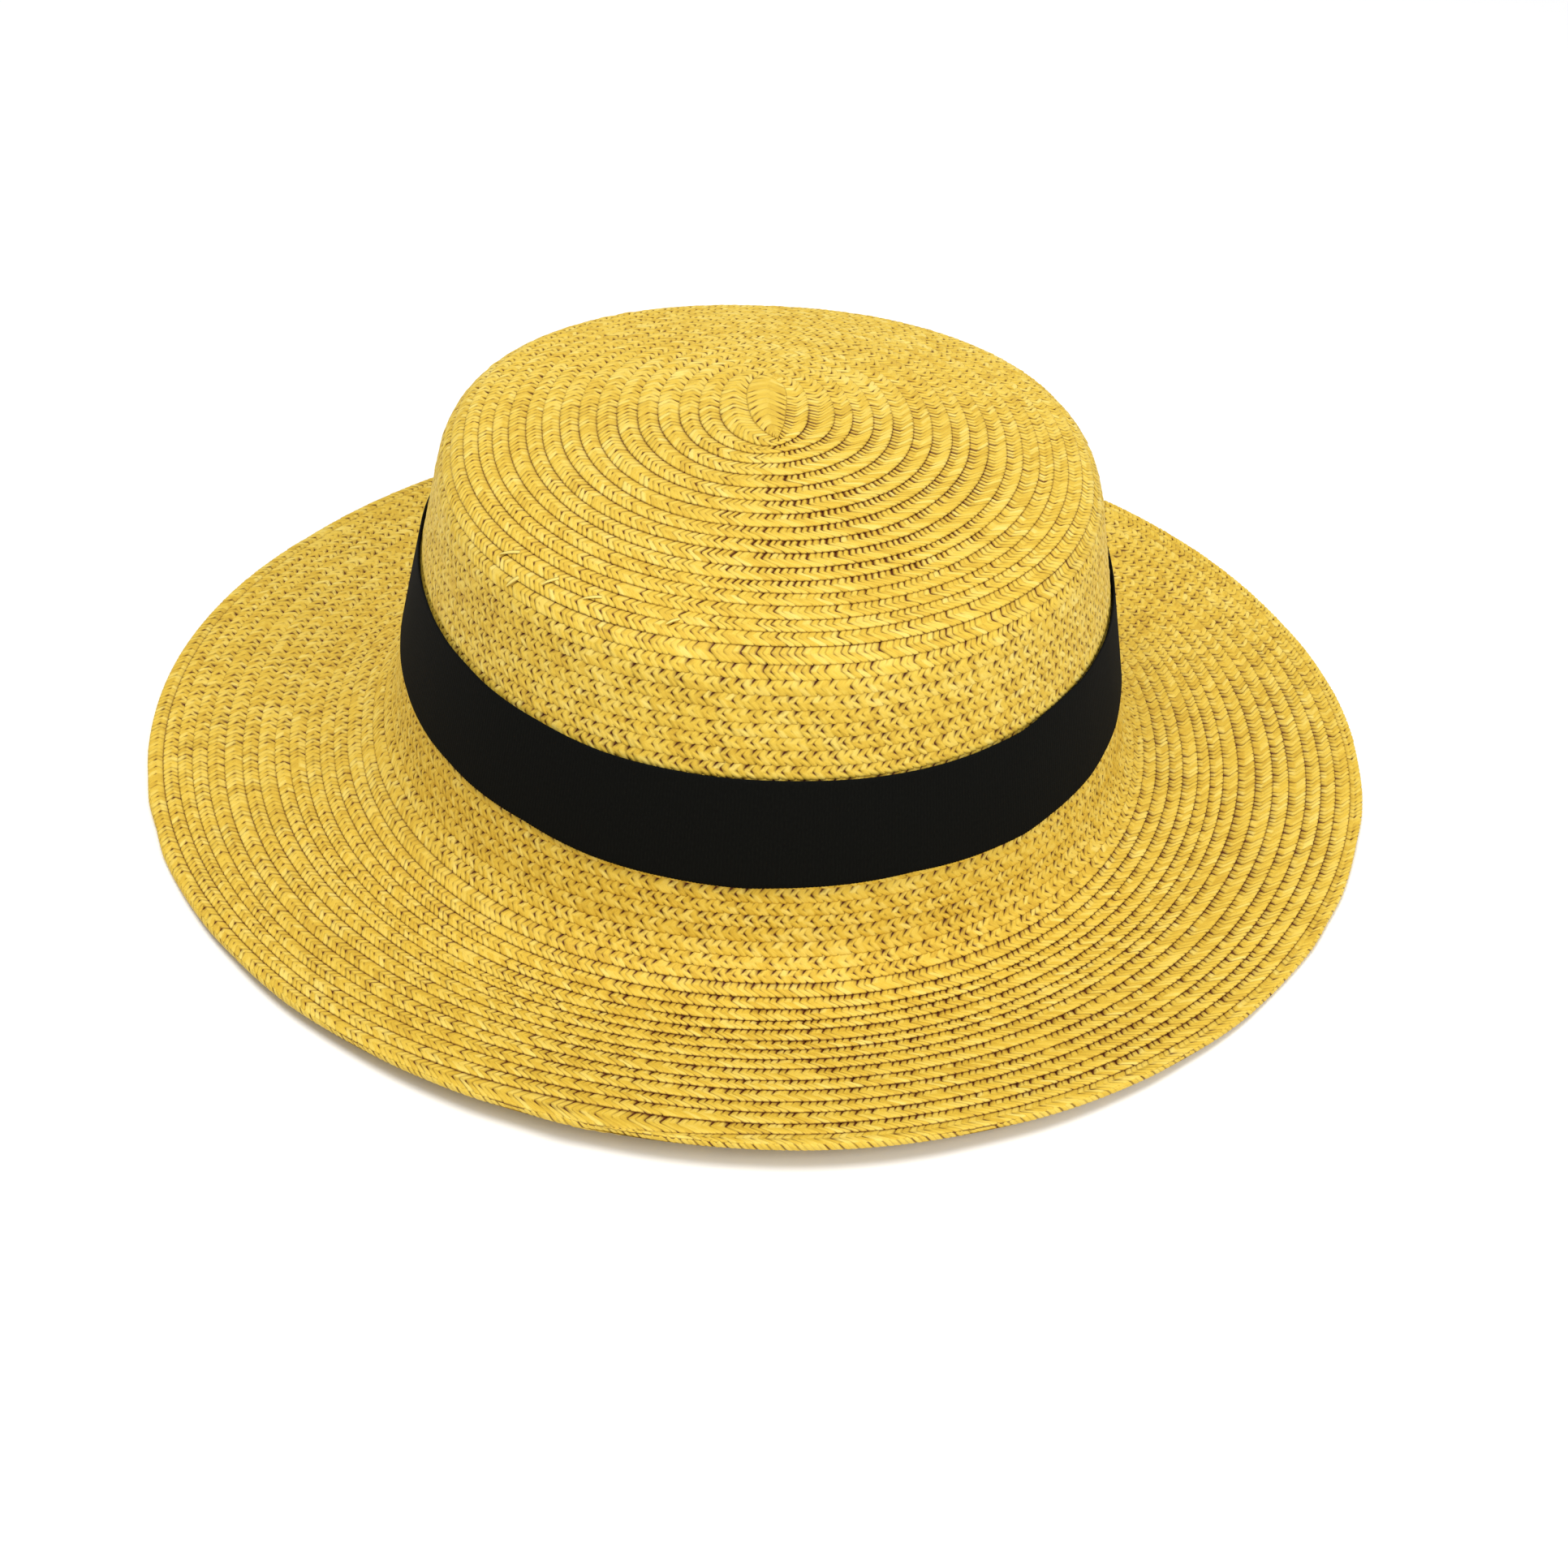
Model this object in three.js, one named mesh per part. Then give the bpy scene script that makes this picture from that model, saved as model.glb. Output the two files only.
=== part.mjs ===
// Straw boater hat: a crown and a brim sewn from rows of flat braid, with a plain ribbon round the crown.
// Millimetres, +Z up. The hat stands on the edge of its brim at z = 0 and its front faces -Y.
// One profile runs from the middle of the tip out to the brim's edge. Its slopes are degrees below level,
// and every ring of it is an oval that is wider than the head line by the same amount all round.
import * as THREE from 'three';

// Oval of the outer face at the head line, which is the lower edge of the ribbon
const headLength = 198.6;
const headWidth = 172.4;
const crownOvalPower = 2.17; // 2 is an ellipse, more is squarer
const brimOvalPower = 1.99;
const frontNarrowing = 0.086; // share of the width that the front half loses and the back half gains

// Crown
const sideHeight = 44.5;
const sideLean = 10.2; // degrees off upright, wider towards the brim
const shoulderRadius = 10.5;
const tipCentreSlope = 6.2; // degrees
const tipEdgeSlope = 12.4; // degrees, where the tip meets the shoulder
const buttonWidth = 5; // first straight stretch of braid, in the middle of the tip
const crownTilt = 1.1; // degrees that the whole crown leans towards +X above a level brim

// Brim
const brimWidth = 62.7;
const collarDrop = 12; // upright stretch below the ribbon
const flareRadius = 14;
const flareEndSlope = 20; // degrees
const sweepRadius = 43;
const restStripWidth = 5; // flat strip under the edge, which the hat stands on
const waveHeight = 4.9; // how far front and back of the edge lift off the floor
const waveTurn = -9; // degrees that the wave is turned about the hat's axis

// Walls, rows and clearance
const wallThickness = 1.6;
const rowStep = 0.5; // how far each row's outer edge stands proud of the next row
const tipRowPitch = 4.8;
const sideRowPitch = 3.3;
const brimRowPitch = 3.65;
const clearance = 0.3;

// Sewn joint between crown and brim, hidden by the ribbon
const crownEdgeRise = 4; // height of the crown's lower edge above the head line
const sewnLap = 8; // how far the brim's collar reaches up inside the crown

// Ribbon
const ribbonWidth = 25;
const ribbonThickness = 0.8;

// Facets round the oval
const sides = 40;

const radians = THREE.MathUtils.degToRad;
const headHalfLength = headLength / 2;
const headHalfWidth = headWidth / 2;
const sideSlope = 90 - sideLean;

// Horizontal run and drop of an arc that turns from one slope to another
function arcRun(radius, fromSlope, toSlope) {
  return radius * Math.abs(Math.sin(radians(toSlope)) - Math.sin(radians(fromSlope)));
}

function arcDrop(radius, fromSlope, toSlope) {
  return radius * Math.abs(Math.cos(radians(toSlope)) - Math.cos(radians(fromSlope)));
}

function arcLength(radius, fromSlope, toSlope) {
  return radius * radians(Math.abs(toSlope - fromSlope));
}

// Sideways shift of the leaning side for a given height
function leanShift(height) {
  return height * Math.tan(radians(sideLean));
}

function alongSide(height) {
  return height / Math.cos(radians(sideLean));
}

const crownBelowShoulder = sideHeight - ribbonWidth * Math.cos(radians(sideLean));
const tipRun = headHalfWidth - buttonWidth / 2 - leanShift(sideHeight)
  - arcRun(shoulderRadius, tipEdgeSlope, sideSlope);
const tipRadius = tipRun / arcRun(1, tipCentreSlope, tipEdgeSlope);
const levelRun = brimWidth - leanShift(collarDrop) - arcRun(flareRadius, sideSlope, flareEndSlope)
  - arcRun(sweepRadius, flareEndSlope, 0);
const headLineHeight = wallThickness + collarDrop + arcDrop(flareRadius, sideSlope, flareEndSlope)
  + arcDrop(sweepRadius, flareEndSlope, 0);

// Stretches of the profile from the tip outward
const stretches = [
  {
    name: 'tip',
    length: arcLength(tipRadius, tipCentreSlope, tipEdgeSlope),
    from: tipCentreSlope,
    to: tipEdgeSlope,
    pitch: tipRowPitch,
  },
  {
    name: 'shoulder',
    length: arcLength(shoulderRadius, tipEdgeSlope, sideSlope),
    from: tipEdgeSlope,
    to: sideSlope,
    pitch: sideRowPitch,
  },
  { name: 'open side', length: alongSide(crownBelowShoulder), from: sideSlope, to: sideSlope, pitch: sideRowPitch },
  { name: 'ribbon side', length: ribbonWidth, from: sideSlope, to: sideSlope, pitch: ribbonWidth },
  { name: 'collar', length: alongSide(collarDrop), from: sideSlope, to: sideSlope, pitch: sideRowPitch },
  {
    name: 'flare',
    length: arcLength(flareRadius, sideSlope, flareEndSlope),
    from: sideSlope,
    to: flareEndSlope,
    pitch: sideRowPitch,
  },
  {
    name: 'sweep',
    length: arcLength(sweepRadius, flareEndSlope, 0),
    from: flareEndSlope,
    to: 0,
    pitch: brimRowPitch,
  },
  { name: 'level', length: levelRun, from: 0, to: 0, pitch: brimRowPitch },
];

// Point of a stretch at a distance along it, as a run, a drop and a slope
function walk(stretch, distance) {
  const from = radians(stretch.from);
  const bend = (radians(stretch.to) - from) / stretch.length;
  const slope = from + bend * distance;
  if (Math.abs(bend) < 1e-9) {
    return { run: distance * Math.cos(from), drop: distance * Math.sin(from), slope };
  }
  const run = (Math.sin(slope) - Math.sin(from)) / bend;
  const drop = (Math.cos(from) - Math.cos(slope)) / bend;
  return { run, drop, slope };
}

// Start of each stretch, first as runs and drops from the tip and then moved to the head line
let run = 0;
let drop = 0;
for (const stretch of stretches) {
  const end = walk(stretch, stretch.length);
  stretch.run = run;
  stretch.drop = drop;
  run += end.run;
  drop += end.drop;
}
const collarStart = stretches.find((stretch) => stretch.name === 'collar');

// Point on the profile, moved out of its face by a height: offset from the head line's oval, and z
function profilePoint(stretch, distance, height) {
  const here = walk(stretch, distance);
  const offset = stretch.run - collarStart.run + here.run;
  const z = headLineHeight + collarStart.drop - stretch.drop - here.drop;
  return {
    offset: offset + height * Math.sin(here.slope),
    z: z + height * Math.cos(here.slope),
  };
}

// Rows of one stretch: each starts flush under the row before and ends proud of the row after
function rowPoints(stretch, startDistance = 0, endDistance = stretch.length) {
  const length = endDistance - startDistance;
  const count = Math.max(1, Math.round(length / stretch.pitch));
  const points = [];
  for (let row = 0; row < count; row += 1) {
    points.push(profilePoint(stretch, startDistance + (length * row) / count, 0));
    points.push(profilePoint(stretch, startDistance + (length * (row + 1)) / count, rowStep));
  }
  return points;
}

// Smooth run of points along one stretch at a fixed height from the outer face
function smoothPoints(stretch, height, steps, startDistance = 0, endDistance = stretch.length) {
  const points = [];
  for (let step = 0; step <= steps; step += 1) {
    const distance = startDistance + ((endDistance - startDistance) * step) / steps;
    points.push(profilePoint(stretch, distance, height));
  }
  return points;
}

function stretchNamed(name) {
  return stretches.find((stretch) => stretch.name === name);
}

function signedPower(value, power) {
  return Math.sign(value) * Math.abs(value) ** power;
}

// Share of the wave at an angle: none where the brim lies on the floor at both sides
function waveShare(angle) {
  const restArc = 0.5; // cosine of twice the half angle that lies flat
  const lift = restArc - Math.cos(2 * (angle - radians(waveTurn)));
  return Math.max(0, lift) / (1 + restArc);
}

// Leans a point with the crown: wholly inside the head line, and not at all where the brim lies level
function leanWithCrown(x, y, z, offset) {
  const bendingRun = brimWidth - levelRun;
  const share = (1 - Math.min(1, Math.max(0, offset) / bendingRun)) ** 2;
  const lean = Math.tan(radians(crownTilt)) * share;
  return new THREE.Vector3(x + z * lean, y, z - x * lean);
}

// Point of the oval that lies outside the head line by an offset
function ovalPoint({ offset, z }, angle) {
  const outward = Math.max(0, offset) / brimWidth;
  const power = 2 / (crownOvalPower + (brimOvalPower - crownOvalPower) * Math.min(1, outward));
  const cos = Math.cos(angle);
  const sin = Math.sin(angle);
  const narrowing = frontNarrowing * Math.min(headHalfWidth, headHalfWidth + offset) * sin * cos;
  const x = (headHalfWidth + offset) * signedPower(cos, power) + narrowing;
  const y = (headHalfLength + offset) * signedPower(sin, power);
  const lift = waveHeight * outward ** 2 * waveShare(angle);
  return leanWithCrown(x, y, z + lift, offset);
}

// Closed mesh through rings of equal count: open ends are capped at the axis, or the rings close on themselves
function loftRings(rings, closesOnItself) {
  const positions = [];
  for (const ring of rings) {
    for (let side = 0; side < sides; side += 1) {
      const point = ovalPoint(ring, (2 * Math.PI * side) / sides);
      positions.push(point.x, point.y, point.z);
    }
  }
  const triangles = [];
  const pairs = closesOnItself ? rings.length : rings.length - 1;
  for (let ring = 0; ring < pairs; ring += 1) {
    const next = (ring + 1) % rings.length;
    for (let side = 0; side < sides; side += 1) {
      const after = (side + 1) % sides;
      const a = ring * sides + side;
      const b = ring * sides + after;
      const c = next * sides + side;
      const d = next * sides + after;
      triangles.push(a, c, b, b, c, d);
    }
  }
  if (!closesOnItself) {
    const last = rings.length - 1;
    const firstCentre = positions.length / 3;
    for (const ring of [rings[0], rings[last]]) {
      const centre = leanWithCrown(0, 0, ring.z, ring.offset);
      positions.push(centre.x, centre.y, centre.z);
    }
    for (let side = 0; side < sides; side += 1) {
      const after = (side + 1) % sides;
      triangles.push(firstCentre, side, after);
      triangles.push(firstCentre + 1, last * sides + after, last * sides + side);
    }
  }
  const geometry = new THREE.BufferGeometry();
  geometry.setAttribute('position', new THREE.Float32BufferAttribute(positions, 3));
  geometry.setIndex(triangles);
  geometry.computeVertexNormals();
  return geometry;
}

function makeMesh(name, geometry, material) {
  const mesh = new THREE.Mesh(geometry, material);
  mesh.name = name;
  return mesh;
}

// Crown: rows from the button to the edge under the ribbon, and a smooth inside
function crownGeometry() {
  const ribbonSide = stretchNamed('ribbon side');
  const lowerEdge = ribbonWidth - alongSide(crownEdgeRise);
  const inside = [
    ...smoothPoints(stretchNamed('tip'), -wallThickness, 3),
    ...smoothPoints(stretchNamed('shoulder'), -wallThickness, 4).slice(1),
    ...smoothPoints(ribbonSide, -wallThickness, 1, 0, lowerEdge),
  ].reverse();
  return loftRings([
    ...rowPoints(stretchNamed('tip')),
    ...rowPoints(stretchNamed('shoulder')),
    ...rowPoints(stretchNamed('open side')),
    ...smoothPoints(ribbonSide, 0, 1, 0, lowerEdge),
    ...inside,
  ], false);
}

// Brim: a collar sewn inside the crown's edge, the flare and the rows out to the edge
function brimGeometry() {
  const ribbonSide = stretchNamed('ribbon side');
  const crownEdge = ribbonWidth - alongSide(crownEdgeRise);
  const rebate = crownEdge + clearance;
  const collarTop = rebate - sewnLap;
  const lapHeight = -(wallThickness + clearance);
  const level = stretchNamed('level');
  const outer = [
    ...smoothPoints(ribbonSide, lapHeight, 1, collarTop, rebate),
    ...smoothPoints(ribbonSide, 0, 1, rebate, ribbonWidth),
    ...rowPoints(stretchNamed('collar')),
    ...rowPoints(stretchNamed('flare')),
    ...rowPoints(stretchNamed('sweep')),
    ...rowPoints(level),
  ];
  const underside = [
    profilePoint(ribbonSide, collarTop, lapHeight - wallThickness),
    profilePoint(ribbonSide, rebate, lapHeight - wallThickness),
    ...smoothPoints(stretchNamed('collar'), -wallThickness, 2),
    ...smoothPoints(stretchNamed('flare'), -wallThickness, 5).slice(1),
    ...smoothPoints(stretchNamed('sweep'), -wallThickness, 3).slice(1),
    profilePoint(level, level.length - restStripWidth, -wallThickness),
    profilePoint(level, level.length, -wallThickness),
  ].reverse();
  return loftRings([...outer, ...underside], true);
}

// Ribbon: a plain ring that lies on the proud edges of the crown's rows
function ribbonGeometry() {
  const ribbonSide = stretchNamed('ribbon side');
  const inner = rowStep + clearance;
  return loftRings([
    ...smoothPoints(ribbonSide, inner + ribbonThickness, 1),
    ...smoothPoints(ribbonSide, inner, 1).reverse(),
  ], true);
}

const straw = new THREE.MeshStandardMaterial({ color: 0xe6c24c, roughness: 0.75, metalness: 0 });
const ribbonCloth = new THREE.MeshStandardMaterial({ color: 0x121311, roughness: 0.8, metalness: 0 });

const hat = new THREE.Group();
hat.add(makeMesh('crown', crownGeometry(), straw));
hat.add(makeMesh('brim', brimGeometry(), straw.clone()));
hat.add(makeMesh('hat_band', ribbonGeometry(), ribbonCloth));

export default hat;
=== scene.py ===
import math

import bpy
import numpy as np
from mathutils import Matrix, Vector


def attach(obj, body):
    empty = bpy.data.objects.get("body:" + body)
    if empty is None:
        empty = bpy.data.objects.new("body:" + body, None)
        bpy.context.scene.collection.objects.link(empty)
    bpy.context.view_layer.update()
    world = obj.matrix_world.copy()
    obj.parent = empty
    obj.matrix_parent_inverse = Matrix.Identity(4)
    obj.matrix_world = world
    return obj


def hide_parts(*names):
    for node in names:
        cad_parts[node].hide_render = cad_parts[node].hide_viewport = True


# The straw boater: one long braid sewn in a spiral from the button to the brim's edge, and a ribbon.
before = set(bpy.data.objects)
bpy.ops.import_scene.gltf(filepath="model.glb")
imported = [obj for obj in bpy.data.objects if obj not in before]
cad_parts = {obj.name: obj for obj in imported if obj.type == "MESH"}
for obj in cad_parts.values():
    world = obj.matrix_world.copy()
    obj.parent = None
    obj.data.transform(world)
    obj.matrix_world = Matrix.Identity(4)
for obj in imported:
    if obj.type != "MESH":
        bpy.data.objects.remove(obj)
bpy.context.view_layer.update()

MM = 0.001

# Camera fitted to the photograph's outline, ribbon and rows
CAMERA_PLACE = Vector((-0.0308, -0.6503, 0.4120))
CAMERA_AZIMUTH = -3.322
CAMERA_ELEVATION = 33.035
CAMERA_ROLL = 2.233
CAMERA_LENS = 71.34
CAMERA_SENSOR = 36.0

# Oval at the head line, as in the solids
HEAD_LENGTH = 198.6 * MM
HEAD_WIDTH = 172.4 * MM
CROWN_POWER = 2.17
BRIM_POWER = 1.99
FRONT_NARROWING = 0.086
HALF_LENGTH = HEAD_LENGTH / 2
HALF_WIDTH = HEAD_WIDTH / 2

# Profile from the middle of the tip to the brim's edge
SIDE_HEIGHT = 44.5 * MM
SIDE_LEAN = 10.2
SIDE_SLOPE = 90 - SIDE_LEAN
SHOULDER_RADIUS = 10.5 * MM
TIP_CENTRE_SLOPE = 6.2
TIP_EDGE_SLOPE = 12.4
BUTTON_WIDTH = 5 * MM
CROWN_TILT = 1.1
BRIM_WIDTH = 62.7 * MM
COLLAR_DROP = 12 * MM
FLARE_RADIUS = 14 * MM
FLARE_END_SLOPE = 20
SWEEP_RADIUS = 43 * MM
WAVE_HEIGHT = 4.9 * MM
WAVE_TURN = -9
WAVE_REST = 0.5
WALL = 1.6 * MM
RIBBON_WIDTH = 25 * MM

# Braid: turns are counted clockwise, with whole numbers at the front
STRAND_PITCH = 1.65 * MM
SIDE_PITCH = 3.2 * MM
TABLE_START = -2.3 * MM
TABLE_STEPS = 4000
FIRST_LINE = 3.4 * MM
MOUTH_TURN = -2.5
TURNS = 54.0
END_TURN = 53.0
END_TAPER = 0.05
STEP_FROM = -1.27
STEP_TO = -0.97
FRONT_ANGLE = -90
SAG_ANGLE = -82

# Row width in front at distances from the tip's start, in millimetres
ROW_WIDTHS = [
    (-3, 2.7), (3, 3.0), (6, 4.6), (8, 4.85), (42, 4.85), (50, 4.3),
    (74, 4.0), (77, 3.2), (165, 3.2), (172, 3.7), (177, 4.15), (205, 4.2),
]

# How much farther out a row lies at the back than in front, in millimetres: at turns near the button, then at
# distances from the tip's start
FIRST_SAG = [
    (-2.5, 5), (-2.25, 2.5), (-2, 3), (-1.75, 5.2), (-1.5, 8.3),
    (-1.25, 6.2), (-1, 8), (-0.5, 9.9), (0, 10.6), (0.5, 11),
]
SAG = [
    (6, 11), (28, 11), (42, 9.3), (60, 7.2), (72, 4.7), (90, 2.5), (126, 2),
    (150, 3), (168, 5), (185, 5.5), (195, 4), (200, 3.2), (205, 1),
]

# Where the sag starts and over how much it grows on the left, in degrees, at distances in millimetres
SAG_START = [(120, 8), (190, 20)]
SAG_REACH = [(120, 92), (175, 65), (196, 32)]

# Slow wobble of the rows, as hands sew them
WOBBLE_STEP = 0.09
WOBBLE_SIZE = 0.2 * MM

# Strength of the gaps between strands: its spread, and how strong a gap's groove and its painted shade are beside
# its middle
GAP_SPREAD = 0.3
GROOVE_BESIDE = 0.28
PAINTED_SHADE_BESIDE = 0.32

# Share of a strand's tone that changes slowly along the row, and the grain's shift from one half to the other
SLOW_TONE_SHARE = 0.25
HALF_SHIFT = 7.3

SEED = 58
chance = np.random.default_rng(SEED)


def smooth(x):
    x = np.clip(x, 0, 1)
    return x * x * (3 - 2 * x)


def arc_run(radius, start, end):
    return radius * abs(math.sin(math.radians(end)) - math.sin(math.radians(start)))


def arc_drop(radius, start, end):
    return radius * abs(math.cos(math.radians(end)) - math.cos(math.radians(start)))


def arc_length(radius, start, end):
    return radius * math.radians(abs(end - start))


def lean_run(height):
    return height * math.tan(math.radians(SIDE_LEAN))


def along_side(height):
    return height / math.cos(math.radians(SIDE_LEAN))


BELOW_SHOULDER = SIDE_HEIGHT - RIBBON_WIDTH * math.cos(math.radians(SIDE_LEAN))
TIP_RUN = (HALF_WIDTH - BUTTON_WIDTH / 2 - lean_run(SIDE_HEIGHT)
           - arc_run(SHOULDER_RADIUS, TIP_EDGE_SLOPE, SIDE_SLOPE))
TIP_RADIUS = TIP_RUN / arc_run(1, TIP_CENTRE_SLOPE, TIP_EDGE_SLOPE)
LEVEL_RUN = (BRIM_WIDTH - lean_run(COLLAR_DROP) - arc_run(FLARE_RADIUS, SIDE_SLOPE, FLARE_END_SLOPE)
             - arc_run(SWEEP_RADIUS, FLARE_END_SLOPE, 0))
HEAD_LINE = (WALL + COLLAR_DROP + arc_drop(FLARE_RADIUS, SIDE_SLOPE, FLARE_END_SLOPE)
             + arc_drop(SWEEP_RADIUS, FLARE_END_SLOPE, 0))

# Stretches as name, length, slope at the start and slope at the end
STRETCHES = [
    ("tip", arc_length(TIP_RADIUS, TIP_CENTRE_SLOPE, TIP_EDGE_SLOPE), TIP_CENTRE_SLOPE, TIP_EDGE_SLOPE),
    ("shoulder", arc_length(SHOULDER_RADIUS, TIP_EDGE_SLOPE, SIDE_SLOPE), TIP_EDGE_SLOPE, SIDE_SLOPE),
    ("open", along_side(BELOW_SHOULDER), SIDE_SLOPE, SIDE_SLOPE),
    ("ribbon", RIBBON_WIDTH, SIDE_SLOPE, SIDE_SLOPE),
    ("collar", along_side(COLLAR_DROP), SIDE_SLOPE, SIDE_SLOPE),
    ("flare", arc_length(FLARE_RADIUS, SIDE_SLOPE, FLARE_END_SLOPE), SIDE_SLOPE, FLARE_END_SLOPE),
    ("sweep", arc_length(SWEEP_RADIUS, FLARE_END_SLOPE, 0), FLARE_END_SLOPE, 0),
    ("level", LEVEL_RUN, 0, 0),
]


def walk(stretch, distance):
    """Run, drop and slope at a distance along one stretch."""
    length, start, end = stretch[1:]
    first = math.radians(start)
    bend = (math.radians(end) - first) / length
    slope = first + bend * distance
    if start == end:
        return distance * math.cos(first), distance * math.sin(first), slope
    return (np.sin(slope) - math.sin(first)) / bend, (math.cos(first) - np.cos(slope)) / bend, slope


starts = {}
runs = {}
drops = {}
run = drop = distance = 0.0
for stretch in STRETCHES:
    starts[stretch[0]] = distance
    runs[stretch[0]] = run
    drops[stretch[0]] = drop
    step_run, step_drop, end_slope = walk(stretch, stretch[1])
    run += step_run
    drop += step_drop
    distance += stretch[1]
PROFILE_LENGTH = distance


def profile(t, height):
    """Offset from the head line's oval, height above the floor and slope, at a distance from the tip's start."""
    offset = np.zeros_like(t)
    z = np.zeros_like(t)
    slope = np.zeros_like(t)
    for number, stretch in enumerate(STRETCHES):
        name = stretch[0]
        low = starts[name] if number > 0 else -math.inf
        high = starts[name] + stretch[1] if number < len(STRETCHES) - 1 else math.inf
        here = (t >= low) & (t < high)
        step_run, step_drop, at = walk(stretch, t[here] - starts[name])
        offset[here] = runs[name] - runs["collar"] + step_run
        z[here] = HEAD_LINE + drops["collar"] - drops[name] - step_drop
        slope[here] = at
    return offset + height * np.sin(slope), z + height * np.cos(slope), slope


def signed_power(value, power):
    return np.sign(value) * np.abs(value) ** power


def hat_point(t, angle, height):
    """Point of the hat's face, moved out of it by a height."""
    t, angle, height = np.broadcast_arrays(t, angle, height)
    offset, z, slope = profile(t, height)
    outward = np.maximum(0, offset) / BRIM_WIDTH
    power = 2 / (CROWN_POWER + (BRIM_POWER - CROWN_POWER) * np.minimum(1, outward))
    cos = np.cos(angle)
    sin = np.sin(angle)
    narrow = FRONT_NARROWING * np.minimum(HALF_WIDTH, HALF_WIDTH + offset) * sin * cos
    x = (HALF_WIDTH + offset) * signed_power(cos, power) + narrow
    y = (HALF_LENGTH + offset) * signed_power(sin, power)
    wave = np.maximum(0, WAVE_REST - np.cos(2 * (angle - math.radians(WAVE_TURN)))) / (1 + WAVE_REST)
    z = z + WAVE_HEIGHT * outward ** 2 * wave
    lean_share = (1 - np.minimum(1, np.maximum(0, offset) / (BRIM_WIDTH - LEVEL_RUN))) ** 2
    lean = math.tan(math.radians(CROWN_TILT)) * lean_share
    return np.stack([x + z * lean, y, z - x * lean], -1)


# Spiral line between rows: its distance in front from the tip's start for each turn count
table_t = np.linspace(TABLE_START, PROFILE_LENGTH, TABLE_STEPS)
width_places, widths = np.array(ROW_WIDTHS).T * MM
pitch_at = np.interp(table_t, width_places, widths)
table_turns = np.concatenate([[0], np.cumsum(np.diff(table_t) / ((pitch_at[1:] + pitch_at[:-1]) / 2))])
table_turns -= np.interp(FIRST_LINE, table_t, table_turns)
on_level = table_t > starts["level"]
turns_at_level = np.interp(starts["level"], table_t, table_turns)
level_stretch = (TURNS - turns_at_level) / (table_turns[-1] - turns_at_level)
table_turns[on_level] = turns_at_level + (table_turns[on_level] - turns_at_level) * level_stretch

wobble_turns = np.arange(-3, TURNS + 4, WOBBLE_STEP)
wobble_size = chance.normal(0, WOBBLE_SIZE, len(wobble_turns))


def turn_from(direction, turns):
    """Signed angle from a direction to the place of a turn, in degrees."""
    return (FRONT_ANGLE - 360 * turns - direction + 180) % 360 - 180


def at_place(table, distance):
    """Value of a table of places in millimetres at a distance."""
    places, values = np.array(table).T
    return np.interp(distance, places * MM, values)


def sag_share(turns, distance):
    """Share of the sag round the hat: none just right of the front, and all of it at the back and on the left."""
    turned = turn_from(SAG_ANGLE, turns)
    start = at_place(SAG_START, distance)
    reach = at_place(SAG_REACH, distance)
    left = smooth((-turned - start) / reach)
    right = 0.84 * smooth((turned - 4) / 88) + 0.16 * smooth((turned - 80) / 90)
    return np.where(turned < 0, left, right)


def line_distance(turns):
    """Distance from the tip's start of the spiral line between rows."""
    front = np.interp(turns, table_turns, table_t)
    first_turns, first_sags = np.array(FIRST_SAG).T
    first_sag = np.interp(turns, first_turns, first_sags)
    sag = np.where(turns < first_turns[-1], first_sag, at_place(SAG, front)) * MM
    line = front + sag * sag_share(turns, front)
    wobble = np.interp(turns, wobble_turns, wobble_size)
    line = line + wobble * smooth(turns / 3) * smooth(TURNS - 1.5 - turns)
    line = line + (PROFILE_LENGTH - line) * smooth((turns - END_TURN) / END_TAPER)
    return np.minimum(line, PROFILE_LENGTH)


def outer_line(turns):
    return line_distance(turns + 1)


def inner_line(turns):
    return line_distance(turns)


def angle_at(turns):
    return math.radians(FRONT_ANGLE) - turns * 2 * math.pi


def front_turns(t):
    """Turns of the spiral line that crosses the front at a distance from the tip's start."""
    return float(np.interp(t, table_t, table_turns))


# Length of braid up to each turn count, one step for each degree
fine_turns = np.arange(MOUTH_TURN - 0.3, TURNS, 1 / 360)
middle = (inner_line(fine_turns) + outer_line(fine_turns)) / 2
middle_points = hat_point(middle, angle_at(fine_turns), 0.0)
steps = np.linalg.norm(np.diff(middle_points, axis=0), axis=1)
fine_length = np.concatenate([[0], np.cumsum(steps)])
fine_length -= np.interp(MOUTH_TURN, fine_turns, fine_length)


def turns_at(length):
    return np.interp(length, fine_length, fine_turns)


def strand_at(turns):
    return int(round(float(np.interp(turns, fine_turns, fine_length)) / STRAND_PITCH))


LAST_TURN = END_TURN + END_TAPER
STRAND_COUNT = strand_at(LAST_TURN) + 8

# Chance differences from strand to strand, where a few strands are paler by PALE
PALE = 0.55
SLOW_STRANDS = 23
gap_jitter = chance.normal(0, 1, STRAND_COUNT)
gap_shift = np.clip(chance.normal(0, 0.09, STRAND_COUNT), -0.17, 0.17)
crest_jitter = chance.normal(0, 1, STRAND_COUNT)
crest_tone = chance.random(STRAND_COUNT) + PALE * (chance.random(STRAND_COUNT) > 0.9)
edge_tone = chance.random(STRAND_COUNT) + PALE * (chance.random(STRAND_COUNT) > 0.86)
slow_places = np.arange(0, STRAND_COUNT + SLOW_STRANDS + 1, SLOW_STRANDS)
slow_tone = np.interp(np.arange(STRAND_COUNT), slow_places, chance.random(len(slow_places)))


def gap_strength(strand, weakest, strongest):
    """Strength of the gap at each strand, which differs by chance."""
    return np.clip(1 + GAP_SPREAD * gap_jitter[strand], weakest, strongest)


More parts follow.
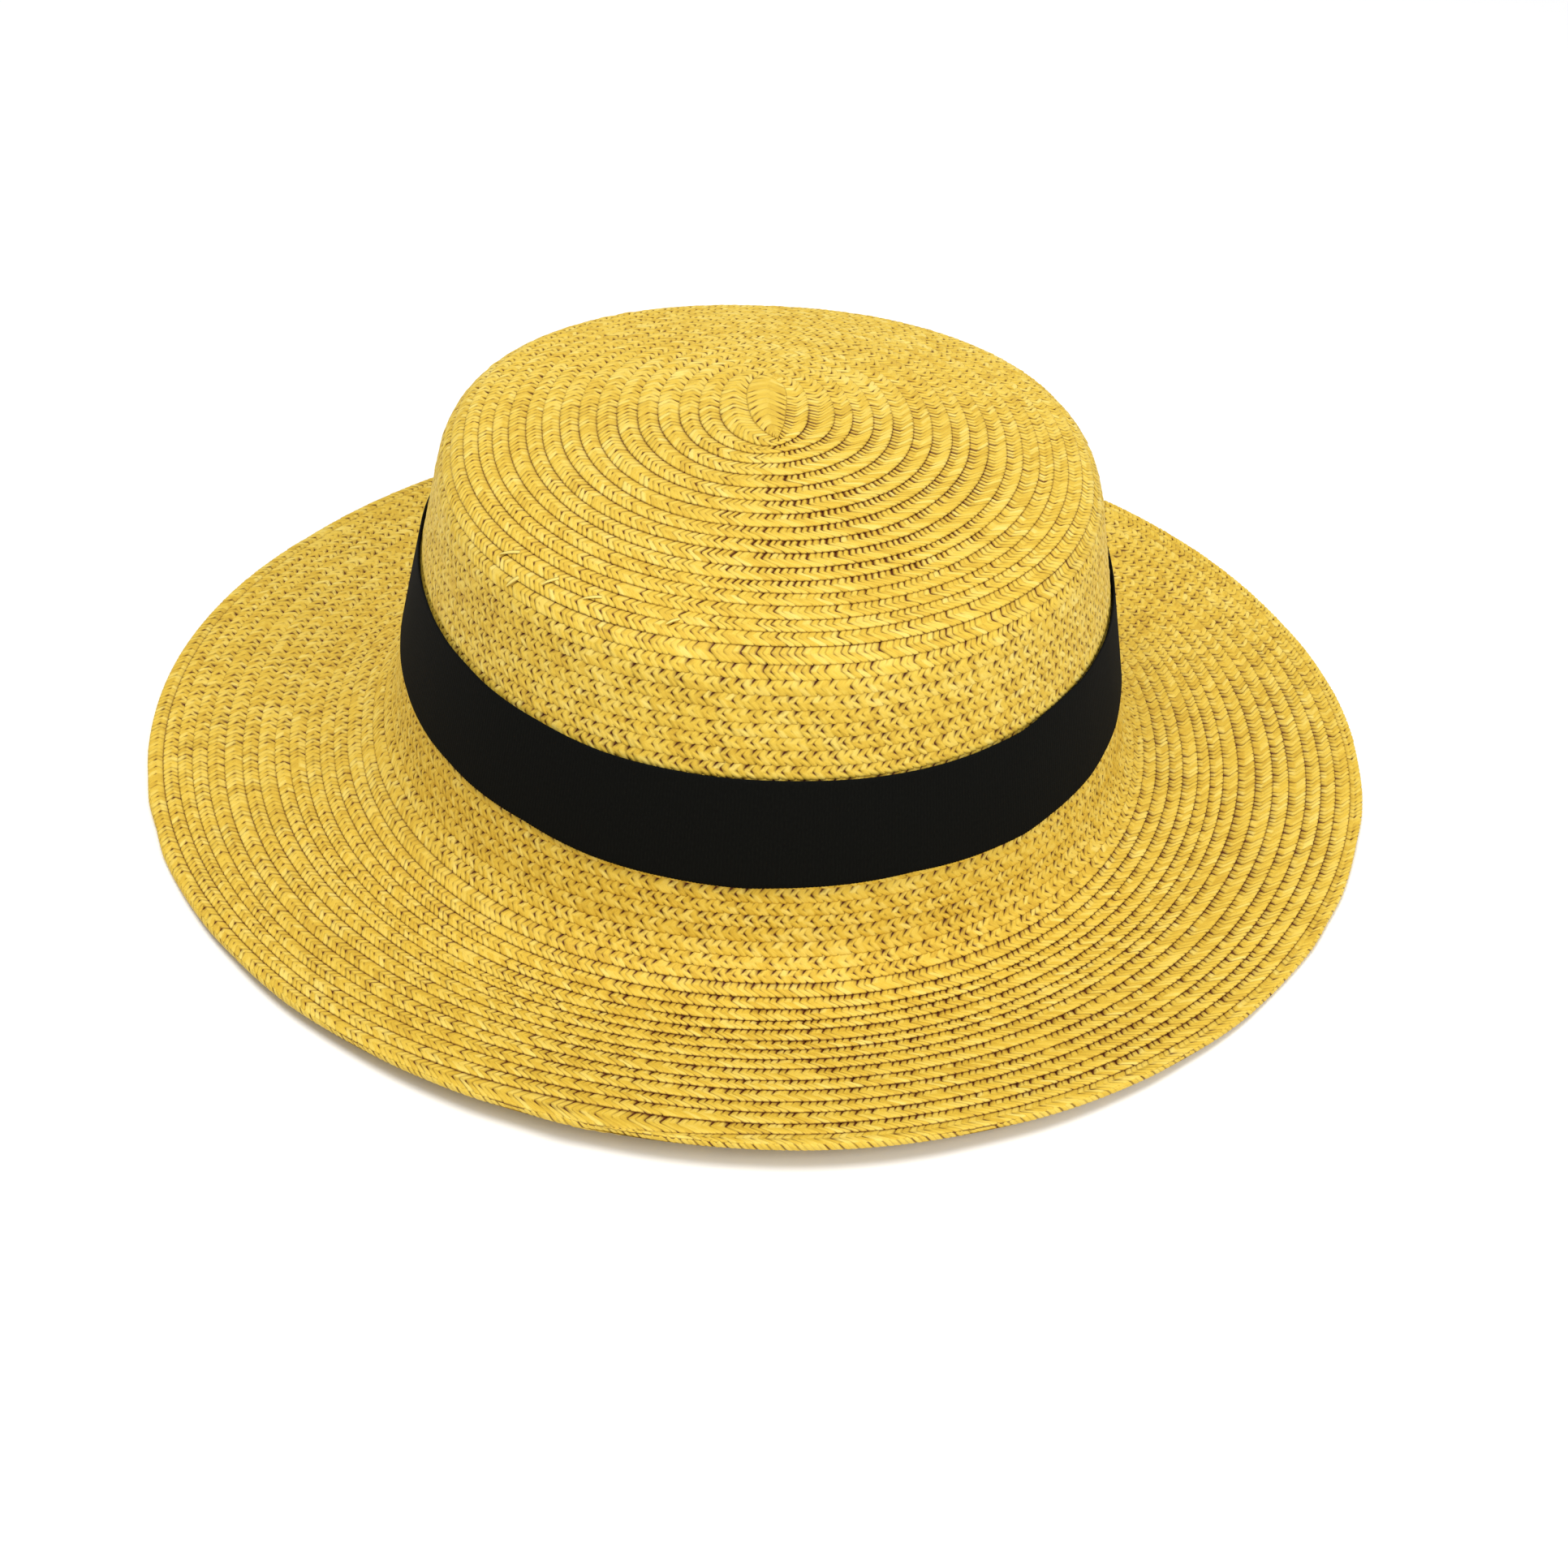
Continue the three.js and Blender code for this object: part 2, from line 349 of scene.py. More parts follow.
def grain_place(along, across, shift):
    """Place in the fibre grain: strands along the row, place across it, and a shift that sets parts apart."""
    return np.stack(np.broadcast_arrays(along, across, shift), -1)


# What each vertex carries for the materials: name, kind, field and shape of a value
CARRIED = [
    # painted shade: darkness painted in the gaps between strands, along the row lines and in the ribbon's grooves
    ("painted_shade", "FLOAT", "value", ()),
    ("tone", "FLOAT", "value", ()),
    ("grain", "FLOAT_VECTOR", "vector", (3,)),
]


def grid_faces(columns, rows, flip, closed_across, closed_along):
    index = np.arange(columns * rows).reshape(columns, rows)
    if closed_across:
        index = np.concatenate([index, index[:, :1]], axis=1)
    if closed_along:
        index = np.concatenate([index, index[:1]], axis=0)
    faces = np.stack([index[:-1, :-1], index[:-1, 1:], index[1:, 1:], index[1:, :-1]], -1).reshape(-1, 4)
    return faces[:, ::-1] if flip else faces


def make_piece(name, grids, material, replaced):
    """One mesh from grids of points, each with its attributes, closed or open, facing out or in."""
    points = []
    faces = []
    values = {carried[0]: [] for carried in CARRIED}
    count = 0
    for grid in grids:
        columns, rows = grid["points"].shape[:2]
        points.append(grid["points"].reshape(-1, 3))
        ways = [grid.get(key, False) for key in ("flip", "closed_across", "closed_along")]
        faces.append(grid_faces(columns, rows, *ways) + count)
        count += columns * rows
        for key, kind, field, shape in CARRIED:
            values[key].append(np.broadcast_to(grid[key], (columns, rows) + shape).reshape(-1))
    points = np.concatenate(points).astype(np.float32)
    faces = np.concatenate(faces).astype(np.int32)
    mesh = bpy.data.meshes.new(name)
    mesh.vertices.add(len(points))
    mesh.vertices.foreach_set("co", points.ravel())
    mesh.loops.add(faces.size)
    mesh.loops.foreach_set("vertex_index", faces.ravel())
    mesh.polygons.add(len(faces))
    mesh.polygons.foreach_set("loop_start", np.arange(len(faces), dtype=np.int32) * 4)
    mesh.polygons.foreach_set("use_smooth", np.ones(len(faces), dtype=bool))
    mesh.update(calc_edges=True)
    for key, kind, field, shape in CARRIED:
        layer = mesh.attributes.new(key, kind, "POINT")
        layer.data.foreach_set(field, np.concatenate(values[key]).astype(np.float32))
    mesh.materials.append(material)
    piece = bpy.data.objects.new(name, mesh)
    bpy.context.scene.collection.objects.link(piece)
    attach(piece, "root")
    if replaced:
        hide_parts(*replaced)
    return piece


# Cross section of the braid at shares of the row's width, in four looks. Each line gives the height of the face,
# the painted shade in the gaps beside strong and weak strands, the depth of those gaps, and the painted shade all
# along the row, on the line between rows and the step at its edge. Heights and depths are in millimetres.
SHARES = np.array([-0.10, 0.14, 0.40, 0.54, 0.74, 0.93, 1.02, 1.02])
HEIGHT, STRONG_GAP_SHADE, WEAK_GAP_SHADE, STRONG_DEPTH, WEAK_DEPTH, SHADE = range(6)
SLOTTED = [
    (0.00, 1.0, 0.85, 0.18, 0.18, 1.0),
    (0.20, 1.0, 0.8, 0.52, 0.42, 0.05),
    (0.34, 0.95, 0.6, 0.48, 0.36, 0.0),
    (0.44, 0.5, 0.25, 0.26, 0.20, 0.0),
    (0.56, 0.24, 0.18, 0.13, 0.12, 0.0),
    (0.58, 0.24, 0.18, 0.13, 0.12, 0.0),
    (0.40, 0.4, 0.3, 0.16, 0.12, 0.05),
    (-0.12, 1.0, 0.8, 0.0, 0.0, 0.8),
]
SCALLOPED = [
    (0.01, 1.0, 0.86, 0.25, 0.20, 0.94),
    (0.22, 1.0, 0.6, 0.46, 0.30, 0.12),
    (0.35, 0.5, 0.3, 0.30, 0.20, 0.0),
    (0.43, 0.34, 0.3, 0.20, 0.18, 0.0),
    (0.55, 0.26, 0.24, 0.14, 0.13, 0.0),
    (0.56, 0.3, 0.26, 0.16, 0.13, 0.0),
    (0.40, 0.6, 0.4, 0.22, 0.16, 0.15),
    (-0.12, 1.0, 0.9, 0.0, 0.0, 0.85),
]
LINED = [
    (0.02, 1.0, 0.8, 0.18, 0.14, 1.0),
    (0.24, 0.4, 0.3, 0.18, 0.14, 0.2),
    (0.36, 0.36, 0.24, 0.22, 0.16, 0.0),
    (0.43, 0.95, 0.4, 0.42, 0.2, 0.0),
    (0.54, 0.26, 0.3, 0.18, 0.16, 0.0),
    (0.56, 0.25, 0.25, 0.13, 0.13, 0.0),
    (0.42, 0.4, 0.3, 0.14, 0.12, 0.1),
    (-0.12, 0.9, 0.7, 0.0, 0.0, 0.7),
]
WOVEN = [
    (0.20, 1.0, 0.23, 0.45, 0.12, 0.2),
    (0.34, 1.0, 0.16, 0.50, 0.12, 0.0),
    (0.42, 0.32, 0.4, 0.18, 0.26, 0.0),
    (0.46, 0.12, 0.85, 0.12, 0.42, 0.0),
    (0.49, 0.14, 0.25, 0.12, 0.18, 0.0),
    (0.45, 0.4, 0.14, 0.20, 0.12, 0.0),
    (0.36, 0.95, 0.2, 0.32, 0.12, 0.0),
    (-0.12, 1.0, 0.35, 0.0, 0.0, 0.1),
]
LOOKS = np.array([SLOTTED, SCALLOPED, LINED, WOVEN])

# Slant of the strands off the row's crosswise direction, in its inner and its outer half, for the four looks
INNER_SLANTS = np.tan(np.radians([21, 24, 30, 38]))
OUTER_SLANTS = np.tan(np.radians([57, 52, 50, 42]))
APEX_SHARE = 0.47

# Directions on which the open looks (slotted and scalloped) and the lined look are centred, how far they reach on
# either side and over how much they fade, in degrees
OPEN_DIRECTION = -48
TIP_OPEN_REACH = 42
BRIM_OPEN_REACH = 50
OPEN_FADE = 38
TIP_LINED_DIRECTION = -150
BRIM_LINED_DIRECTION = -136
LINED_REACH = 27
LINED_FADE = 24

# The shoulder and the last row look lined all round, and the stretch from shoulder to sweep looks woven all round
SHOULDER_LINED_FROM = 50 * MM
SHOULDER_FADE = 12 * MM
SHOULDER_LINED_SHARE = 0.8
EDGE_LINED_FROM = 200 * MM
WOVEN_FROM = 75 * MM
WOVEN_TO = 152 * MM
WOVEN_FADE_IN = 5 * MM
WOVEN_FADE_OUT = 6 * MM


def between(first, second, share):
    return first + (second - first) * share


def fading(direction, turns, reach, fade):
    """One near a direction, and fading to zero beyond its reach."""
    return 1 - smooth((np.abs(turn_from(direction, turns)) - reach) / fade)


def look_shares(t, turns):
    """Share of each look at a distance from the tip's start and at a turn."""
    upright = smooth((t - WOVEN_FROM) / WOVEN_FADE_IN) * smooth((WOVEN_TO - t) / WOVEN_FADE_OUT)
    on_brim = smooth((t - WOVEN_TO) / MM + 3)
    open_reach = between(TIP_OPEN_REACH, BRIM_OPEN_REACH, on_brim)
    opened = fading(OPEN_DIRECTION, turns, open_reach, OPEN_FADE) * (1 - upright)
    last_row = smooth((t - EDGE_LINED_FROM) / MM)
    shoulder = SHOULDER_LINED_SHARE * smooth((t - SHOULDER_LINED_FROM) / SHOULDER_FADE) * (1 - on_brim)
    closed = np.maximum(last_row, shoulder * opened)
    opened = opened * (1 - np.maximum(last_row, shoulder))
    direction = between(TIP_LINED_DIRECTION, BRIM_LINED_DIRECTION, on_brim)
    lined = np.maximum(fading(direction, turns, LINED_REACH, LINED_FADE), closed) * (1 - opened) * (1 - upright)
    return np.stack([opened * (1 - on_brim), opened * on_brim, lined, 1 - opened - lined], -1)


def strand_shift(share, width, looks):
    """How far a strand has moved along the row at a share of the row's width."""
    inner = (looks @ INNER_SLANTS)[:, None] * np.minimum(share, APEX_SHARE)
    outer = (looks @ OUTER_SLANTS)[:, None] * np.maximum(0, np.minimum(share, 1) - APEX_SHARE)
    return (inner - outer) * width[:, None]


def button_step(turns):
    """One on the steep step in front of the button on its right, and zero on the other lines."""
    return smooth((turns - STEP_FROM) / 0.07) * smooth((STEP_TO - turns) / 0.05)


def line_shade(turns):
    """Factor on the painted shade of the line between rows near the button: faint on the button's edges, strong
    on the step.
    """
    return 1 - 0.7 * (turns < MOUTH_TURN + 1.04) + 0.9 * button_step(turns)


def tone_between(tones, strand, in_gap):
    """Tone of a strand, or the mean of two neighbours in the gap between them."""
    return np.where(in_gap, 0.5 * (tones[strand] + tones[strand - 1]), tones[strand])


def braid_grid(first, last, cuts):
    """Outer face of the braid from one strand to another."""
    strand = np.repeat(np.arange(first, last), len(cuts))
    cut = np.tile(cuts, last - first)
    strand = np.append(strand, last)
    cut = np.append(cut, 0.0)
    in_gap = cut == 0
    near = strand + (cut > 0.5)
    place = strand + cut + np.where(in_gap, gap_shift[strand], 0)
    length = place * STRAND_PITCH
    at = turns_at(length)
    width = outer_line(at) - inner_line(at)
    looks = look_shares(inner_line(at) + width / 2, at)
    section = np.einsum("cl,lrk->crk", looks, LOOKS)
    turns = turns_at(length[:, None] + strand_shift(SHARES, width, looks))
    inner = inner_line(turns)
    outer = outer_line(turns)
    t = inner + SHARES * (outer - inner)
    strong = (near % 2 == 0)[:, None]
    strength = gap_strength(near, 0.15, 1.6)[:, None]
    beside_gap = np.abs(cut - 0.5) > 0.2
    groove = np.where(in_gap, 1.0, np.where(beside_gap, GROOVE_BESIDE, 0.0))[:, None] * strength
    depth = np.where(strong, section[..., STRONG_DEPTH], section[..., WEAK_DEPTH])
    gap_shade = np.where(strong, section[..., STRONG_GAP_SHADE], section[..., WEAK_GAP_SHADE])
    narrow = smooth((outer - inner) / (0.5 * SIDE_PITCH))
    height = section[..., HEIGHT] - groove * depth
    height = height + (~in_gap * crest_jitter[strand] * 0.04)[:, None] * (SHARES > 0)
    height = height * MM * narrow
    scallop = np.where(in_gap, -0.10, 0.06)[:, None] * strength * MM
    t = np.minimum(t + scallop * (SHARES > 0.9), PROFILE_LENGTH + 0.1 * MM)
    # Painted shade: dark in the gaps between strands, a little beside them, and along the line between rows and
    # the step at each row's edge
    painted_shade = np.where(in_gap, 1.0, np.where(beside_gap, PAINTED_SHADE_BESIDE, 0.0))[:, None] * strength * gap_shade
    in_inner_half = SHARES < 0.5
    shade = section[..., SHADE] * np.where(in_inner_half, line_shade(turns), line_shade(turns + 1))
    painted_shade = np.clip(np.maximum(painted_shade, shade), 0, 1)
    inner_tone = tone_between(crest_tone, strand, in_gap)
    outer_tone = tone_between(edge_tone, strand, in_gap)
    tone = np.where(in_inner_half, inner_tone[:, None], outer_tone[:, None])
    tone = between(tone, slow_tone[strand][:, None], SLOW_TONE_SHARE)
    return {
        "points": hat_point(t, angle_at(turns), height),
        "painted_shade": painted_shade,
        "tone": tone,
        "grain": grain_place(place[:, None], SHARES * width[:, None] / MM,
                             np.where(in_inner_half, 0.0, HALF_SHIFT)),
        "flip": True,
    }


# Cross section of the braid's other face: share of the row's width, height over the outer face in millimetres
# and painted shade
INNER_ROWS = np.array([
    (0.00, -1.12, 0.6),
    (0.00, -1.54, 0.16),
    (0.30, -1.57, 0.0),
    (0.66, -1.44, 0.0),
    (1.05, -1.16, 0.4),
])
INNER_SLANT_SHARE = 0.6
INNER_GROOVE = 0.16
INNER_GAP_SHADE = 0.3
INNER_SLOW_SHARE = 0.35


def lining_grid(first, last):
    """Inner face of the braid, where each row's inner edge lies over the row before."""
    strand = np.arange(first, last + 1)
    length = strand * STRAND_PITCH
    at = turns_at(length)
    width = outer_line(at) - inner_line(at)
    share, depth, shade = INNER_ROWS.T
    looks = look_shares(inner_line(at) + width / 2, at)
    turns = turns_at(length[:, None] + strand_shift(share, width, looks) * INNER_SLANT_SHARE)
    inner = inner_line(turns)
    outer = outer_line(turns)
    t = np.minimum(inner + share * (outer - inner), PROFILE_LENGTH)
    gap = ((strand % 2 == 0) * gap_strength(strand, 0.2, 1.6))[:, None]
    height = (depth + gap * INNER_GROOVE * (share < 0.9)) * MM
    # Painted shade in the gaps between strands and on the rows' edges
    painted_shade = np.clip(np.maximum(gap * INNER_GAP_SHADE, shade), 0, 1)
    tone = between(crest_tone[strand], slow_tone[strand], INNER_SLOW_SHARE)
    return {
        "points": hat_point(t, angle_at(turns), height),
        "painted_shade": painted_shade,
        "tone": tone[:, None],
        "grain": grain_place(strand[:, None], share * width[:, None] / MM, 0.0),
    }


def node(tree, kind, **settings):
    made = tree.nodes.new(kind)
    for key, value in settings.items():
        setattr(made, key, value)
    return made


def new_look(name, roughness, specular):
    material = bpy.data.materials.new(name)
    material.use_nodes = True
    shader = material.node_tree.nodes["Principled BSDF"]
    shader.inputs["Roughness"].default_value = roughness
    shader.inputs["Specular IOR Level"].default_value = specular
    return material, material.node_tree, shader


def carried_value(tree, name):
    """Output that gives what the vertices carry under a name."""
    made = node(tree, "ShaderNodeAttribute", attribute_name=name)
    return made.outputs["Vector" if name == "grain" else "Fac"]


def noise(tree, vector, scale, detail):
    made = node(tree, "ShaderNodeTexNoise")
    made.inputs["Scale"].default_value = scale
    made.inputs["Detail"].default_value = detail
    tree.links.new(vector, made.inputs["Vector"])
    return made.outputs["Fac"]


def times_plus(tree, value, factor, addend, clamp=False):
    """A value times a factor, plus a number or another output."""
    made = node(tree, "ShaderNodeMath", operation="MULTIPLY_ADD", use_clamp=clamp)
    tree.links.new(value, made.inputs[0])
    made.inputs[1].default_value = factor
    if isinstance(addend, float):
        made.inputs[2].default_value = addend
    else:
        tree.links.new(addend, made.inputs[2])
    return made.outputs["Value"]


def colour_ramp(tree, value, low, high, middles=()):
    """Colour at a value, between stops that are each a value and a colour."""
    ramp = node(tree, "ShaderNodeValToRGB")
    elements = ramp.color_ramp.elements
    for element, (place, colour) in zip(elements, (low, high)):
        element.position = place
        element.color = (*colour, 1)
    for place, colour in middles:
        elements.new(place).color = (*colour, 1)
    tree.links.new(value, ramp.inputs["Fac"])
    return ramp.outputs["Color"]


def paint(tree, shader, colour, painted_shade, painted_shade_colour):
    """Give the shader a colour, with a painted shade colour mixed in by the painted shade mask in the pits."""
    mix = node(tree, "ShaderNodeMix", data_type="RGBA")
    tree.links.new(painted_shade, mix.inputs[MIX_SHARE])
    tree.links.new(colour, mix.inputs[MIX_FIRST])
    mix.inputs[MIX_SECOND].default_value = (*painted_shade_colour, 1)
    tree.links.new(mix.outputs[MIX_RESULT], shader.inputs["Base Color"])


def roughen(tree, shader, relief, strength, distance):
    """Give the shader a fine relief."""
    bump = node(tree, "ShaderNodeBump")
    bump.inputs["Strength"].default_value = strength
    bump.inputs["Distance"].default_value = distance
    tree.links.new(relief, bump.inputs["Height"])
    tree.links.new(bump.outputs["Normal"], shader.inputs["Normal"])


# Places of the colour mix's sockets
MIX_SHARE, MIX_FIRST, MIX_SECOND, MIX_RESULT = 0, 6, 7, 2


def straw_material(name, crest, middle_colour, deep, painted_shade_colour, roughness):
    """Flat strands with a fibre grain along them, paler crests, and brown painted shade in the gaps and along the
    row lines.
    """
    material, tree, shader = new_look(name, roughness, 0.22)
    place = node(tree, "ShaderNodeTexCoord").outputs["Object"]
    fibre_map = node(tree, "ShaderNodeMapping")
    fibre_map.inputs["Scale"].default_value = (5.0, 0.55, 1.0)
    tree.links.new(carried_value(tree, "grain"), fibre_map.inputs["Vector"])
    fibre = noise(tree, fibre_map.outputs["Vector"], 1.6, 3.0)
    patch = noise(tree, place, 38.0, 2.0)
    fleck = noise(tree, place, 900.0, 2.0)
    pale = times_plus(tree, patch, 0.22, 0.0)
    pale = times_plus(tree, carried_value(tree, "tone"), 0.42, pale)
    pale = times_plus(tree, fibre, 0.6, pale)
    colour = colour_ramp(tree, pale, (0.32, deep), (0.98, crest), [(0.62, middle_colour)])
    # Painted shade: the carried shade mask, with random dark flecks of the straw added, mixes in the dark brown
    # shade colour
    painted_shade_curve = node(tree, "ShaderNodeMapRange")
    painted_shade_curve.inputs["From Min"].default_value = 0.12
    painted_shade_curve.inputs["From Max"].default_value = 0.62
    tree.links.new(carried_value(tree, "painted_shade"), painted_shade_curve.inputs["Value"])
    painted_shade = times_plus(tree, painted_shade_curve.outputs["Result"], 1.0, times_plus(tree, fleck, 0.22, -0.11), clamp=True)
    paint(tree, shader, colour, painted_shade, painted_shade_colour)
    roughen(tree, shader, fibre, 0.35, 0.12 * MM)
    return material


def ribbon_material(name):
    """Black ribbed ribbon with fine crosswise threads."""
    material, tree, shader = new_look(name, 0.85, 0.06)
    thread = noise(tree, carried_value(tree, "grain"), 2.2, 3.0)
    colour = colour_ramp(tree, thread, (0.3, (0.0025, 0.0027, 0.0023)), (0.75, (0.0048, 0.0051, 0.0042)))
    # Painted shade, near black, in the grooves between ribs
    paint(tree, shader, colour, carried_value(tree, "painted_shade"), (0.003, 0.003, 0.0028))
    roughen(tree, shader, thread, 0.4, 0.05 * MM)
    return material


# Straw looks, each with a dark brown colour for the painted shade in the gaps and along the row lines
crown_straw = straw_material(
    "crown_straw_look",
    crest=(0.8, 0.62, 0.148),
    middle_colour=(0.71, 0.482, 0.054),
    deep=(0.548, 0.33, 0.026),
    painted_shade_colour=(0.10, 0.023, 0.002),
    roughness=0.6,
)
brim_straw = straw_material(
    "brim_straw_look",
    crest=(0.81, 0.615, 0.135),
    middle_colour=(0.71, 0.475, 0.05),
    deep=(0.54, 0.32, 0.024),
    painted_shade_colour=(0.095, 0.021, 0.002),
    roughness=0.62,
)
ribbon_look = ribbon_material("band_ribbon_look")

# Outer face of the braid in five pieces, with the places of the cuts across each strand
TIP_CUTS = np.array([0.0, 0.2, 0.5, 0.8])
SIDE_CUTS = np.array([0.0, 0.22, 0.78])
tip_end = strand_at(front_turns(starts["shoulder"]))
under_ribbon = strand_at(front_turns(starts["ribbon"] + 4 * MM))
above_brim = strand_at(front_turns(starts["collar"] - 6 * MM))
flare_end = strand_at(front_turns(starts["sweep"] + 6 * MM))
brim_middle = strand_at(front_turns(starts["level"] + 15 * MM))
braid_end = strand_at(LAST_TURN)

# Button: strands, columns for each, how far it overlaps the row behind it, and its cross section as share of the
# width and height in millimetres
BUTTON_STRANDS = 22
BUTTON_COLUMNS = 4
BUTTON_OVERLAP = 0.09
BUTTON_SECTION = np.array([
    (-0.02, -0.12), (-0.02, 0.26), (0.06, 0.38), (0.16, 0.46), (0.30, 0.50), (0.42, 0.46), (0.5, 0.36),
    (0.58, 0.46), (0.70, 0.50), (0.84, 0.46), (0.94, 0.38), (1.02, 0.26), (1.02, -0.12),
])
BUTTON_GROOVE = 0.42
BUTTON_TONE = 0.6
BUTTON_GRAIN = 4.0


def button_lines(along):
    """Right and left edge of the braid's first straight stretch, from its mouth at the back to its front."""
    right = MOUTH_TURN + np.abs(along) / 2
    left = MOUTH_TURN + 1 - along / 2
    return right, left


def button_face(right, left, across, height):
    """Points between the button's two edges at shares of its width."""
    share = across[None, :, None]
    right_points = hat_point(line_distance(right), angle_at(right), height)
    left_points = hat_point(line_distance(left), angle_at(left), height)
    return right_points * (1 - share) + left_points * share


def button_grid():
    """First straight stretch of the braid, whose edges stand on the first row."""
    columns = BUTTON_STRANDS * BUTTON_COLUMNS + 1
    along = np.linspace(-BUTTON_OVERLAP, 1, columns)
    across, edge_height = BUTTON_SECTION.T
    from_middle = np.abs(across - 0.5)
    bend = 0.14 * from_middle * smooth(along / 0.2)[:, None]
    right, left = button_lines(np.minimum(along[:, None] + bend, 1))
    points = button_face(right, left, np.clip(across, 0, 1), 0.0)
    row_height = np.interp(np.clip(across, 0, 1), SHARES, np.array(WOVEN)[:, HEIGHT])
    open_mouth = smooth(along / 0.16)[:, None]
    height = row_height * (1 - open_mouth) + edge_height * open_mouth - 0.12 * (along < 0)[:, None]
    number = np.arange(columns) // BUTTON_COLUMNS
    in_gap = (np.arange(columns) % BUTTON_COLUMNS == 0)[:, None]
    strong = (number % 2 == 0)[:, None]
    inside = from_middle < 0.5
    strength = gap_strength(number, 0.2, 1.5)[:, None] * inside
    left_dots = np.exp(-((across - 0.86) / 0.10) ** 2)
    right_dots = np.exp(-((across - 0.12) / 0.10) ** 2)
    dots = np.where(strong, 0.6 * left_dots + 0.45 * right_dots, 0.3 * left_dots + 0.5 * right_dots) + 0.22
    height = height - BUTTON_GROOVE * in_gap * strength * dots
    points[..., 2] += height * MM
    in_right_half = across < 0.5
    tone = np.where(in_right_half, crest_tone[number][:, None], edge_tone[number][:, None])
    # Painted shade in the gaps, strongest at the dots, and on the button's edges
    return {
        "points": points,
        "painted_shade": np.clip(in_gap * strength * dots + (~inside) * 0.3, 0, 1),
        "tone": tone * BUTTON_TONE,
        "grain": grain_place((np.arange(columns) / BUTTON_COLUMNS)[:, None], across * BUTTON_GRAIN,
                             np.where(in_right_half, 0.0, HALF_SHIFT)),
    }


# Frayed strand ends on the shoulder, front left: distance from the tip's start in millimetres, direction in
# degrees, length in millimetres and slant along the row
FRAYED = [
    (70, -146, 4.6, 0.75),
    (69.5, -135, 3.8, 0.6),
    (68.5, -125, 4.2, 0.85),
    (67.5, -109, 3.2, 0.7),
    (74.3, -142, 3.4, 0.5),
]
FRAYED_WIDTH = 0.9 * MM
FRAYED_TONE = 1.5
SHOULDER_REACH = HALF_WIDTH * 0.8


def frayed_grid(distance, direction, reach, slant):
    """Thin pale strand that lies on the rows and lifts a little at its end."""
    along = np.linspace(0, 1, 9)[:, None]
    around = np.array([0.0, 1.0, 0.0, -1.0, 0.0])
    lift = np.array([0.0, 0.5, 1.0, 0.5, 0.0])
    outward = math.sqrt(1 - slant ** 2)
    side = around * FRAYED_WIDTH / 2 * (1 - 0.75 * along ** 3)
    t = distance * MM + reach * MM * (along * outward + 0.05 * along ** 2) + side * slant
    angle = math.radians(direction) + (side * outward - reach * MM * slant * along) / SHOULDER_REACH
    height = (0.48 + 0.16 * np.sin(along * math.pi) + 0.1 * along ** 2 + 0.2 * lift) * MM
    return {
        "points": hat_point(t, angle, height),
        "painted_shade": 0.0,
        "tone": FRAYED_TONE,
        "grain": grain_place(around * 0.4, along * 4, 0.0),
    }


tip_piece = make_piece("crown_tip_braid", [
    braid_grid(0, tip_end, TIP_CUTS),
    button_grid(),
    *[frayed_grid(*strand) for strand in FRAYED],
], crown_straw, ["crown"])
side_piece = make_piece("crown_side_braid", [
    braid_grid(tip_end, under_ribbon, SIDE_CUTS),
], crown_straw, [])
flare_piece = make_piece("brim_flare_braid", [
    braid_grid(above_brim, flare_end, SIDE_CUTS),
], brim_straw, ["brim"])
make_piece("brim_middle_braid", [
    braid_grid(flare_end, brim_middle, SIDE_CUTS),
], brim_straw, [])
make_piece("brim_outer_braid", [
    braid_grid(brim_middle, braid_end, SIDE_CUTS),
], brim_straw, [])

# Rolled edge of the last row: strands, columns for each, cross section as millimetres beyond the edge and height
# in millimetres, and how far the strands run on along the edge from the first to the last line
RIM_STRANDS = 590
RIM_COLUMNS = 3
RIM_SECTION = np.array([
    (-0.35, 0.40), (0.02, 0.34), (0.22, 0.08), (0.32, -0.40), (0.24, -0.90), (0.02, -1.28), (-0.5, -1.48),
])
RIM_SKEW = 2.4 * MM
RIM_RADIUS = 155 * MM
RIM_GROOVE = 0.14
RIM_RISE = 0.03
RIM_WOBBLE = 0.14
RIM_WOBBLE_STEPS = 89


